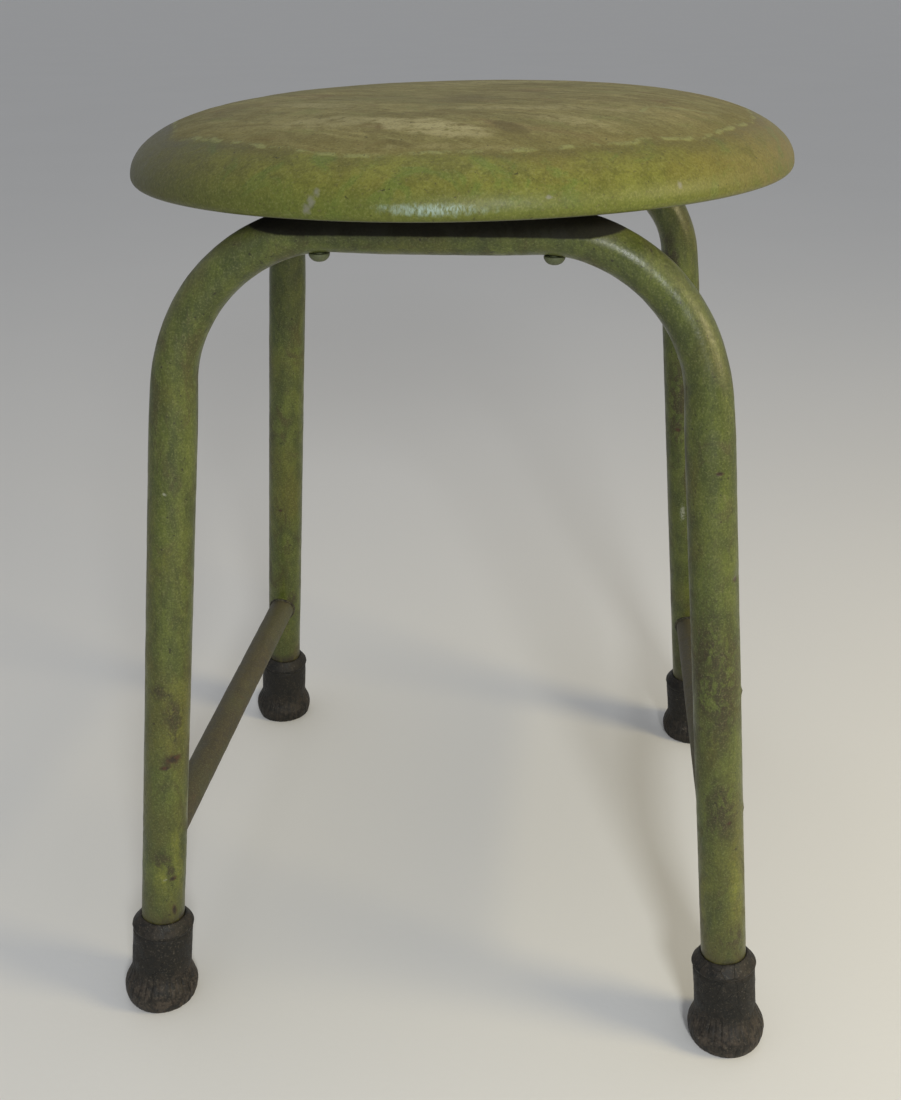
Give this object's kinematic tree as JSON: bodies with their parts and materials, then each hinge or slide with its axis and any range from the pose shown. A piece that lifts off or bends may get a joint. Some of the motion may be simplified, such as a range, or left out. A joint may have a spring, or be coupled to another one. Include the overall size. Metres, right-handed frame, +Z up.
{
  "type": "four-legged round stool",
  "caption": "Backless stool with a domed round wooden seat on two bent steel tube hoops, side braces between front and rear legs, and ribbed rubber feet.",
  "frame": {"origin": "on the floor under the centre of the seat", "axes": "+Z up, front hoop at -Y, +X to the right seen from the front"},
  "size_m": [0.3796, 0.3658, 0.504],
  "materials": {
    "seat_paint": "old olive-green brush paint on wood, worn and dusty, satin",
    "frame_paint": "olive-green gloss paint with brown stains, dust and rust specks",
    "brace_paint": "dusty grey-brown paint over olive",
    "screw_steel": "dull tarnished steel with paint remains",
    "disc_steel": "plain steel",
    "foot_rubber": "matte black rubber with brown dust"
  },
  "bodies": {
    "root": {"seat_board": "seat_paint", "front_hoop": "frame_paint", "rear_hoop": "frame_paint", "left_brace": "brace_paint", "right_brace": "brace_paint", "seat_screws": "screw_steel", "weld_front_left": "brace_paint", "rubber_foot_front_left": "foot_rubber", "foot_disc_front_left": "disc_steel", "weld_front_right": "brace_paint", "rubber_foot_front_right": "foot_rubber", "foot_disc_front_right": "disc_steel", "weld_rear_left": "brace_paint", "rubber_foot_rear_left": "foot_rubber", "foot_disc_rear_left": "disc_steel", "weld_rear_right": "brace_paint", "rubber_foot_rear_right": "foot_rubber", "foot_disc_rear_right": "disc_steel"}
  },
  "joints": []
}
